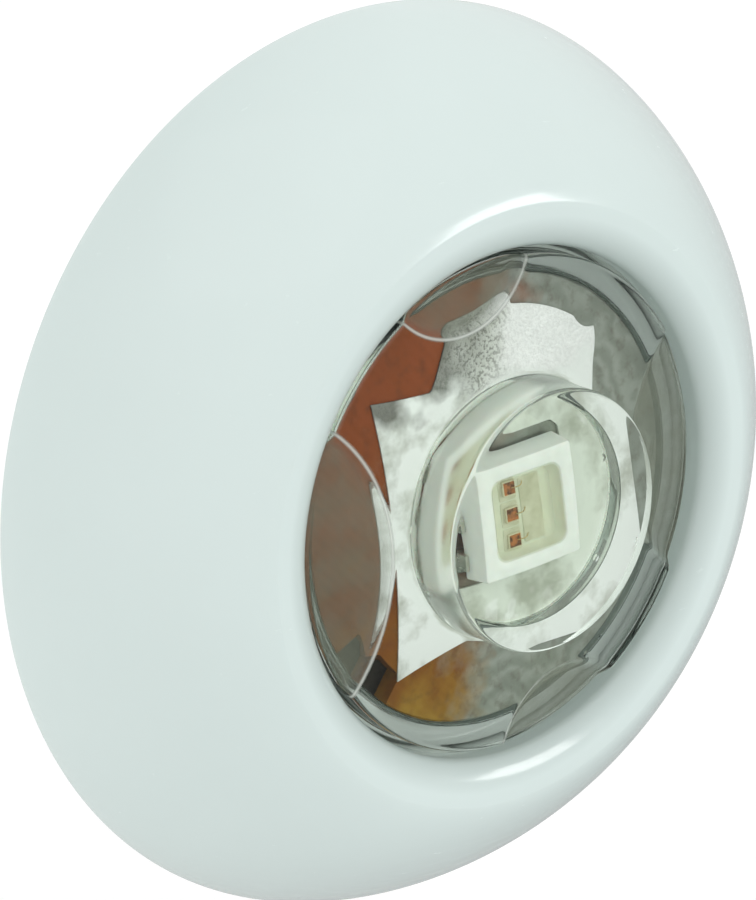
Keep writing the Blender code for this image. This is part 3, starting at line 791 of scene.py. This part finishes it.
def make_lead_frame():
    """The plates on the cavity's floor, and the bond wires from the dies to the wide one."""
    low, high = CAVITY_FLOOR_Y + 0.01, CAVITY_FLOOR_Y - 0.04
    fingers = [((DIE_X - 0.05, row * DIE_PITCH), 0.42, 0.54) for row in (-1, 0, 1)]
    fingers.append(((0.45, 0.0), 0.52, 1.42))
    stacks = []
    for centre, half, half_z in fingers:
        ring = rounded_square(half, 0.08, 2, half_z)
        inner = rounded_square(half - 0.03, 0.06, 2, half_z - 0.03)
        stacks.append(([(ring, low), (ring, high + 0.02), (inner, high)], centre))
    n = Nodes("lead_frame")
    smear = n.noise(0.7, 4.0)
    n.paint(Base_Color=n.ramp(smear, (0.35, (0.66, 0.67, 0.58)), (0.65, (0.84, 0.85, 0.80))))
    n.paint(Roughness=n.spread(smear, 0.5, 0.32))
    n.bump(n.noise(0.10, 2.0), 0.004)
    n.set(Metallic=0.2)
    place(stacked("lead_frame", stacks), n.material)
    die_top = edge("led_die_green", 0, "y")
    wires = []
    for row in (-1, 0, 1):
        z = row * DIE_PITCH
        start = Vector((DIE_X + 0.12, die_top - 0.01, z))
        end = Vector((0.12, CAVITY_FLOOR_Y - 0.05, z + 0.1))
        rise = Vector((0.0, -0.22, 0.0))
        wires.append([start.lerp(end, t) + rise * math.sin(math.pi * t) for t in fractions(8)])
    gold = satin_metal("bond_gold", (0.80, 0.60, 0.30), 0.3)
    place(turn_with_board(rods("bond_wires", wires, 0.022)), gold)


def rods(name, lines, radius):
    """Round rods along lines of points in millimetres, as one mesh."""
    curve = bpy.data.curves.new(name, "CURVE")
    curve.dimensions = "3D"
    curve.bevel_depth = radius * MM
    curve.bevel_resolution = 2
    curve.use_fill_caps = True
    for line in lines:
        spline = curve.splines.new("POLY")
        spline.points.add(len(line) - 1)
        for target, point in zip(spline.points, line):
            target.co = (*(Vector(point) * MM), 1.0)
    shape = bpy.data.objects.new(name + "_curve", curve)
    bpy.context.scene.collection.objects.link(shape)
    bpy.context.view_layer.update()
    mesh = bpy.data.meshes.new_from_object(shape.evaluated_get(bpy.context.evaluated_depsgraph_get()))
    bpy.data.objects.remove(shape)
    bpy.data.curves.remove(curve)
    mesh.name = name
    return new_object(name, mesh, 40)


def make_dies():
    pale = Nodes("die_sapphire")
    pale.paint(Base_Color=pale.mix(pale.noise(0.2), (0.62, 0.58, 0.48), (0.74, 0.70, 0.60)))
    pale.paint(Roughness=pale.spread(pale.noise(0.1), 0.2, 0.35))
    dark = Nodes("die_semiconductor")
    pads = dark.noise(0.22, 1.0)
    dark.paint(Base_Color=dark.ramp(pads, (0.40, (0.16, 0.075, 0.05)), (0.60, (0.52, 0.19, 0.07))))
    dark.paint(Roughness=dark.spread(pads, 0.25, 0.4))
    for colour, row in (("red", 1), ("green", 0), ("blue", -1)):
        high, low = span(f"led_die_{colour}")
        steps = [(0.32, low), (0.32, high + 0.03), (0.31, high + 0.01), (0.27, high), (0.26, high - 0.012)]
        layers = [(rounded_square(half, 0.03, 2), y) for half, y in steps]
        die = stacked(f"die_{colour}", [(layers, (DIE_X, row * DIE_PITCH))])
        place(die, pale.material, f"led_die_{colour}")
        die.data.materials.append(dark.material)
        for polygon in die.data.polygons:
            polygon.material_index = int(polygon.center.y < (high - 0.001) * MM)


def make_gel():
    high, low = span("led_gel")
    steps = [(1.52, low), (1.54, low - 0.02), (1.76, high + 0.03), (1.74, high + 0.01), (1.5, high + 0.05)]
    steps += [(1.0, high + 0.10), (0.5, high + 0.12)]
    layers = [(rounded_square(half, half * 0.27), y) for half, y in steps]
    place(stacked("gel_fill", [(layers, (0, 0))]), led_gel(), "led_gel")


def make_leads(finish):
    low, high = PAD_BACK_Y, LED_BACK_Y - 0.35
    foot = rounded_square(0.50, 0.08, 3, 0.45)
    flat = rounded_square(0.46, 0.08, 3, 0.41)
    strip = [(foot, low), (foot, PAD_FRONT_Y + 0.02), (flat, PAD_FRONT_Y)]
    rises = [(0.30, 0.44, low), (0.24, 0.42, low - 0.12), (0.13, 0.38, low - 0.3), (0.08, 0.34, high)]
    fillet = [(rounded_square(half, 0.05, 3, half_z), y) for half, half_z, y in rises]
    for i in range(6):
        side = -1 if i < 3 else 1
        z = (i % 3 - 1) * LEAD_PITCH
        stacks = [(strip, (side * (LED_HALF - 0.25), z)), (fillet, (side * (LED_HALF + 0.10), z))]
        lead = stacked(f"lead_{i + 1}", stacks, 50)
        place(lead, finish, f"led_lead_{i + 1}")


# ---------------- board and pad


def notched_r(angle, radius):
    """The board's radius along an angle, shorter across its notch."""
    off = (angle - NOTCH_ANGLE + math.pi) % math.tau - math.pi
    floor = BOARD_R - NOTCH_LENGTH
    if abs(off) < math.pi / 4 and floor * math.tan(abs(off)) < NOTCH_HALF:
        return min(radius, floor / math.cos(off))
    if abs(off) < math.pi / 4 and radius * math.sin(abs(off)) < NOTCH_HALF:
        return NOTCH_HALF / math.sin(abs(off))
    return radius


def make_board():
    def outline(angle):
        full, less = notched_r(angle, BOARD_R), notched_r(angle, BOARD_R - 0.12)
        front = [(less * t, BOARD_Y) for t in fractions(6)]
        side = [(full, BOARD_Y + 0.1), (full, BOARD_BACK_Y - 0.1)]
        return [*front, *side, (less, BOARD_BACK_Y), (0.0, BOARD_BACK_Y)]

    board = loft("board_disc", outline, 720)
    place(board, brown_board(), "led_board")


def pad_span(angle):
    """The pad's inner and outer radius along an angle; solder has run out past its upper side."""
    bow_r = (PAD_HALF**2 + PAD_BOW**2) / (2 * PAD_BOW)
    centre = PAD_HALF - PAD_BOW + bow_r
    off = (angle + math.pi / 4) % (math.pi / 2) - math.pi / 4
    outer = centre * math.cos(off) - math.sqrt(bow_r**2 - (centre * math.sin(off)) ** 2)
    low, high = POOL_SECTOR
    pooled = (angle - low) / (high - low)
    outer += (POOL_R - outer) * held(5 * min(pooled, 1 - pooled))
    return PAD_WINDOW / max(math.cos(off), 0.75), outer


def make_pad():
    """The bowed square of tinning, uneven as solder is, with a window for the LED's feet."""
    angles = [math.tau * i / 240 for i in range(240)]
    bm = bmesh.new()
    loops = []
    for share in fractions(16):
        fall = min(1.0, 5 * share, 6 * (1 - share))
        loop = []
        for angle in angles:
            inner, outer = pad_span(angle)
            r = inner + (outer - inner) * share
            spot = Vector((r * math.cos(angle), 0, r * math.sin(angle)))
            swell = 0.05 * noise.noise(spot * 0.55) + 0.02 * noise.noise(spot * 1.7)
            y = PAD_FRONT_Y + 0.03 * (1 - fall) + swell * fall
            loop.append(bm.verts.new(on_axis(r, y, angle)))
        loops.append(loop)
    for border in (loops[-1], loops[0]):
        loops.append([bm.verts.new(Vector((v.co.x, PAD_BACK_Y * MM, v.co.z))) for v in border])
    for near, far in zip(loops, loops[1:] + loops[:1]):
        bridge(bm, near, far)
    pad = turn_with_board(from_bmesh("pad_tinning", bm, 50))
    place(pad, solder_pad(), "heat_pad")


# ---------------- housing and wall clamp


def make_housing():
    bore = [
        (TAIL_BORE, TAIL_END_Y),
        (TAIL_BORE, CAVITY_Y),
        (CAVITY_R, CAVITY_Y),
        (CAVITY_R, SEAT_Y),
        (GROOVE[0], SEAT_Y),
        (GROOVE[0], SEAT_Y + GROOVE_DEPTH),
        (GROOVE[1], SEAT_Y + GROOVE_DEPTH),
        (GROOVE[1], SEAT_Y),
        (SEAT_R, SEAT_Y),
        (SEAT_R, HEAD_Y),
    ]
    plate = rounded(
        [
            (HEAD_R, PLATE_FRONT_Y - 0.2),
            (HEAD_R, PLATE_FRONT_Y),
            (PLATE_R, PLATE_FRONT_Y),
            (PLATE_R, PLATE_BACK_Y),
            (TAIL_R, PLATE_BACK_Y),
            (TAIL_R, PLATE_BACK_Y + 0.4),
        ],
        0.25,
        closed=False,
    )
    inside = rounded(bore, 0.08, 2, closed=False)

    def outline(angle):
        head = threaded(HEAD_R, HEAD_Y + 0.1, PLATE_FRONT_Y - 0.3, angle, HEAD_THREAD)
        tail = threaded(TAIL_R, PLATE_BACK_Y + 0.5, TAIL_END_Y - 0.4, angle, TAIL_THREAD)
        return [*inside, (HEAD_R - 0.1, HEAD_Y), *head, *plate, *tail, (TAIL_R - 0.4, TAIL_END_Y)]

    grey = moulded("grey_abs", (0.56, 0.61, 0.58), 0.42, 0.22, 0.006)
    place(loft("housing_shell", outline, 240), grey, "housing")
    return grey


def make_gasket(rubber):
    """A flat gasket with three sealing beads on each face."""
    low, high = span("wall_gasket")
    inner, outer = TAIL_R + 1.2, edge("wall_gasket", 1, "x")
    beads = [inner + (outer - inner) * share for share in (0.2, 0.5, 0.8)]

    def face(y, inward):
        points = []
        for t in fractions(60):
            r = inner + (outer - inner) * t
            near = min(abs(r - bead) for bead in beads)
            points.append((r, y + inward * 0.16 * min(1.0, near / 0.45) ** 2))
        return points

    outline = face(low, 1) + list(reversed(face(high, -1)))
    place(lathe("gasket_beaded", outline), rubber, "wall_gasket")


def make_wall_clamp(nylon, grey):
    low, high = span("wall_washer")
    outer = edge("wall_washer", 1, "x")
    section = rounded([(NUT_BORE, low), (outer, low), (outer, high), (NUT_BORE, high)], 0.18)
    place(lathe("washer_flat", section), nylon, "wall_washer", body="wall_washer")

    def outline(angle):
        off = (angle % (math.pi / 3)) - math.pi / 6
        out = min(NUT_FLAT_R / math.cos(off), NUT_FLAT_R / math.cos(math.pi / 6) - 0.12)
        rise = (out - NUT_FLAT_R) / 2
        flange = [
            (NUT_BORE + 0.3, NUT_FRONT_Y),
            (out - 0.15, NUT_FRONT_Y),
            (out, NUT_FRONT_Y + 0.15),
            (out, NUT_BACK_Y - rise - 0.15),
            (out - 0.12, NUT_BACK_Y - rise),
            (NUT_FLAT_R - 0.25, NUT_BACK_Y - 0.1),
            (NUT_FLAT_R - 0.5, NUT_BACK_Y),
            (NUT_BORE + 0.5, NUT_BACK_Y),
        ]
        bore = threaded(NUT_BORE, NUT_BACK_Y - 0.5, NUT_FRONT_Y + 0.3, angle, NUT_THREAD)
        return flange + bore

    nut = loft("locknut_hex", outline, 360)
    place(nut, grey, "locknut", body="locknut")


# ---------------- rear closure and cable


def make_rear_closure(grey, rubber):
    low, high = span("potting_plug")
    outer, hole = edge("potting_plug", 1, "x"), CABLE_R + 0.12
    creep = [(hole + (outer - hole) * t, high - 0.25 * (1 - (2 * t - 1) ** 4)) for t in fractions(16)]
    resin = moulded("potting_resin", (0.07, 0.07, 0.08), 0.28, 0.6, 0.01, coat=0.5)
    plug = lathe("plug_resin", [(outer, low), (hole, low), *creep])
    place(plug, resin, "potting_plug")

    cap_low, cap_high = span("rear_cap")
    cap_outer, cap_hole = edge("rear_cap", 1, "x"), GROMMET_R + 0.1

    def cap_outline(angle):
        rib = abs((angle * 8 / math.tau) % 1 - 0.5) < 0.12
        sunk = 0.12 if rib else 0.55
        back = [(cap_hole + 0.8, cap_high), (cap_hole + 1.0, cap_high - sunk)]
        back += [(cap_outer - 1.2, cap_high - sunk), (cap_outer - 1.0, cap_high)]
        return [
            (cap_outer, cap_low),
            (cap_hole, cap_low),
            (cap_hole, cap_high - 0.1),
            (cap_hole + 0.1, cap_high),
            *back,
            (cap_outer - 0.3, cap_high),
            (cap_outer, cap_high - 0.3),
        ]

    place(loft("cap_ribbed", cap_outline, 240), grey, "rear_cap")

    front, end = span("strain_relief")
    shoulder = TAIL_END_Y + 0.1
    sleeve = [(hole, end), (hole, front), (GROMMET_R, front), (GROMMET_R, shoulder)]
    sleeve += [(GROMMET_HEAD_R, shoulder), (GROMMET_HEAD_R, shoulder + 0.7)]
    taper_y = shoulder + 0.8
    for i in range(3):
        y = taper_y + (end - taper_y) * i / 3
        r = 3.5 - 0.8 * i / 3
        sleeve += [(r, y), (r - 0.12, y + 0.28), (r - 0.45, y + 0.30), (r - 0.50, y + 0.42)]
    sleeve.append((CABLE_R + 0.6, end))
    relief = lathe("grommet_ribbed", rounded(sleeve, 0.07, 3))
    place(relief, rubber, "strain_relief")


def cable_path(start_y):
    """(y, way, heading) stations: straight back, then turning; way is how far the cable has gone aside."""
    bend_y = y_at(GROMMET_END - 0.3)
    stations = [(start_y, 0.0, 0.0)]
    for share in fractions(28):
        a = CABLE_BEND * share
        stations.append((bend_y + CABLE_BEND_R * math.sin(a), CABLE_BEND_R * (1 - math.cos(a)), a))
    return stations


def beyond(station, length):
    """The station that is length further along a station's heading."""
    y, way, heading = station
    return (y + length * math.cos(heading), way + length * math.sin(heading), heading)


def cable_point(station, across, out):
    """A point in millimetres beside a station: across is level with the bend's axis, out is away from it."""
    y, way, heading = station
    side = way + out * math.cos(heading)
    x = side * math.cos(CABLE_SIDE) - across * math.sin(CABLE_SIDE)
    z = side * math.sin(CABLE_SIDE) + across * math.cos(CABLE_SIDE)
    return Vector((x, y - out * math.sin(heading), z))


def sweep(name, rings, across=0.0, steps=28, hollow=False):
    """A rod, or a tube, through rings of (station, radius)."""
    bm = bmesh.new()
    loops = []
    for station, radius in rings:
        loop = []
        for j in range(steps):
            a = math.tau * j / steps
            point = cable_point(station, across + radius * math.cos(a), radius * math.sin(a))
            loop.append(bm.verts.new(point * MM))
        loops.append(loop)
    for near, far in zip(loops, loops[1:] + (loops[:1] if hollow else [])):
        bridge(bm, near, far)
    if not hollow:
        bm.faces.new(loops[0])
        bm.faces.new(loops[-1])
    return from_bmesh(name, bm, 40)


def make_jacket():
    path = cable_path(y_at(CABLE_START))
    bend_end = path[-1]
    end, lip = beyond(bend_end, CABLE_TAIL), beyond(bend_end, CABLE_TAIL - 0.15)
    straight = [beyond(bend_end, 2.0 * i) for i in range(1, 7)]
    outer = [(station, CABLE_R) for station in (*path, *straight, lip)]
    inner = [(end, CABLE_BORE + 0.1), (lip, CABLE_BORE)]
    inner += [(station, CABLE_BORE) for station in reversed(path)]
    pvc = moulded("cable_pvc", (0.045, 0.045, 0.05), 0.42, 0.35, 0.006, speck=0.2)
    jacket = sweep("jacket_tube", [*outer, (end, CABLE_R - 0.15), *inner], hollow=True)
    place(jacket, pvc, "cable_jacket")


def make_core(colour, across, tone, copper):
    """An insulated core and its bare end, a middle strand with six twisted round it."""
    path = cable_path(y_at(CORE_START))
    end = beyond(path[-1], CORE_TAIL)
    rings = [(station, CORE_R) for station in (*path, beyond(end, -0.1))]
    core = sweep(f"core_{colour}_rod", [*rings, (end, CORE_R - 0.1)], across, 16)
    finish = moulded(f"wire_{colour}", tone, 0.35, 0.3, 0.003)
    place(core, finish, f"core_{colour}")
    tip_start = beyond(end, 0.02)
    ends = (tip_start, beyond(tip_start, TIP_LENGTH))
    strands = [[cable_point(station, across, 0.0) for station in ends]]
    twist_r = 2 * STRAND_R + 0.005
    for strand in range(6):
        line = []
        for t in fractions(24):
            a = math.tau * (strand / 6 + 0.5 * t)
            spot = beyond(tip_start, TIP_LENGTH * t)
            line.append(cable_point(spot, across + twist_r * math.cos(a), twist_r * math.sin(a)))
        strands.append(line)
    tip = rods(f"strands_{colour}", strands, STRAND_R)
    place(tip, copper, f"core_tip_{colour}")


def make_cable():
    make_jacket()
    copper = satin_metal("strand_copper", (0.80, 0.72, 0.62), 0.3)
    make_core("brown", -CORE_OFFSET, (0.15, 0.055, 0.025), copper)
    make_core("blue", CORE_OFFSET, (0.02, 0.07, 0.35), copper)


# ---------------- finishes for the CAD nodes that stay


def finish_hidden_nodes():
    """The CAD nodes that stay as they are get finishes of their own."""
    epoxy = moulded("chip_epoxy", (0.03, 0.03, 0.033), 0.45, 0.08, 0.004)
    finishes = {
        "thermal_pad": moulded("thermal_silicone", (0.36, 0.40, 0.44), 0.8, 0.2, 0.02),
        # The heat spreader's aluminium is darkened as painted shade, for the shaded notch in the board that
        # it is seen through.
        "heat_spreader": satin_metal("aluminium_shaded", (0.26, 0.25, 0.20), 0.6, (1.0, 0.2, 1.0)),
        "driver_board": moulded("green_board", (0.02, 0.15, 0.06), 0.35, 0.5, 0.006, coat=0.3),
        "capacitor": satin_metal("aluminium", (0.72, 0.73, 0.74), 0.3, (1.0, 0.2, 1.0)),
        "led_wire_white": moulded("wire_white", (0.72, 0.72, 0.70), 0.35, 0.2, 0.003),
        "led_wire_red": moulded("wire_red", (0.50, 0.03, 0.02), 0.35, 0.2, 0.003),
        "led_wire_green": moulded("wire_green", (0.03, 0.30, 0.07), 0.35, 0.2, 0.003),
        "led_wire_blue": moulded("wire_blue_thin", (0.03, 0.08, 0.42), 0.35, 0.2, 0.003),
    }
    for node in ("controller_chip", "bridge_rectifier", "resistor_1", "resistor_2", "resistor_3"):
        finishes[node] = epoxy
    for node, finish in finishes.items():
        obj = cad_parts[node]
        obj.data.materials.clear()
        obj.data.materials.append(finish)


# ---------------- stage


def make_world():
    """White all round, but reflections see a darker room low down to the right and in front."""
    world = bpy.data.worlds.new("studio")
    n = Tree(world, "Background")
    toward = n.node("ShaderNodeVectorMath", operation="DOT_PRODUCT")
    toward.inputs[1].default_value = Vector((-0.62, 0.45, 0.64)).normalized()
    n.link(n.node("ShaderNodeTexCoord").outputs["Generated"], toward.inputs[0])
    height = n.spread(toward.outputs["Value"], 0.0, 1.0, (-1.0, 1.0))
    shade = n.ramp(height, (0.08, (0.16, 0.1616, 0.16)), (0.62, (1.0, 1.01, 1.0)))
    path = n.node("ShaderNodeLightPath")
    plain = n.math("MAXIMUM", path.outputs["Is Camera Ray"], path.outputs["Is Diffuse Ray"])
    n.link(n.mix(plain, shade, (1.0, 1.0, 1.0)), n.shader.inputs["Color"])
    bpy.context.scene.world = world


def make_floor():
    bm = bmesh.new()
    bmesh.ops.create_grid(bm, x_segments=1, y_segments=1, size=3.0)
    bmesh.ops.translate(bm, verts=bm.verts, vec=(0, 0, -RING_R * MM * 2.2))
    floor = from_bmesh("floor", bm)
    n = Nodes("floor_paper")
    n.paint(Base_Color=n.mix(n.noise(40.0), (0.97, 0.97, 0.97), (0.99, 0.99, 0.99)))
    n.set(Roughness=0.9, Emission_Color=(1.0, 1.0, 1.0, 1.0), Emission_Strength=0.09)
    floor.data.materials.append(n.material)
    floor.visible_glossy = False
    floor.visible_transmission = False


def make_light(name, direction, distance, size, power, spared):
    """A square light that points at the origin and leaves the spared objects unlit."""
    light = bpy.data.lights.new(name, "AREA")
    light.energy = power
    light.size = size
    obj = bpy.data.objects.new(name, light)
    obj.location = Vector(direction).normalized() * distance
    obj.rotation_euler = (-obj.location).to_track_quat("-Z", "Y").to_euler()
    bpy.context.scene.collection.objects.link(obj)
    unlit = bpy.data.collections.new(name + "_spares")
    for piece in spared:
        unlit.objects.link(bpy.data.objects[piece])
    obj.light_linking.receiver_collection = unlit
    for item in unlit.collection_objects:
        item.light_linking.link_state = "EXCLUDE"


def make_stage():
    """A pale floor and soft studio light, which leaves no edge on the floor or square glint on the lens."""
    make_floor()
    make_world()
    bpy.context.scene.view_settings.view_transform = "Standard"
    clear = ("lens_body", "potting_fill", "gel_fill")
    make_light("key", (0.60, -0.76, 0.25), 0.5, 0.16, 0.48, ("floor", *clear))
    make_light("top", (-0.3, -0.4, 1.0), 0.6, 0.5, 0.14, ("floor",))


def make_camera():
    """The camera looks a little past the ring, whose middle is right of and below the picture's."""
    azimuth, elevation = math.radians(-39.1), math.radians(17.4)
    distance = 5.26 * RING_R * MM
    level = Vector((math.sin(azimuth), -math.cos(azimuth), 0.0))
    back = level * math.cos(elevation) + Vector((0, 0, math.sin(elevation)))
    right = Vector((0, 0, 1)).cross(back).normalized()
    up = back.cross(right)
    data = bpy.data.cameras.new("camera")
    data.lens = 96.8
    data.sensor_width = 36.0
    data.clip_start = 0.005
    data.clip_end = 20.0
    camera = bpy.data.objects.new("camera", data)
    ring_back = Vector((0.0, WALL_Y * MM, 0.0))
    camera.location = ring_back + back * distance + (up * 0.032 - right * 0.050) * RING_R * MM
    camera.rotation_euler = (-back).to_track_quat("-Z", "Y").to_euler()
    bpy.context.scene.collection.objects.link(camera)
    bpy.context.scene.camera = camera


def main():
    make_face_ring()
    nylon = make_slip_washer()
    make_lens()
    make_potting()
    make_lens_oring()
    make_led_package()
    make_lead_frame()
    make_dies()
    make_gel()
    make_leads(tinned())
    make_board()
    make_pad()
    grey = make_housing()
    rubber = moulded("black_rubber", (0.035, 0.035, 0.037), 0.55, 0.12, 0.010)
    make_gasket(rubber)
    make_wall_clamp(nylon, grey)
    make_rear_closure(grey, rubber)
    make_cable()
    finish_hidden_nodes()
    make_stage()
    make_camera()


main()
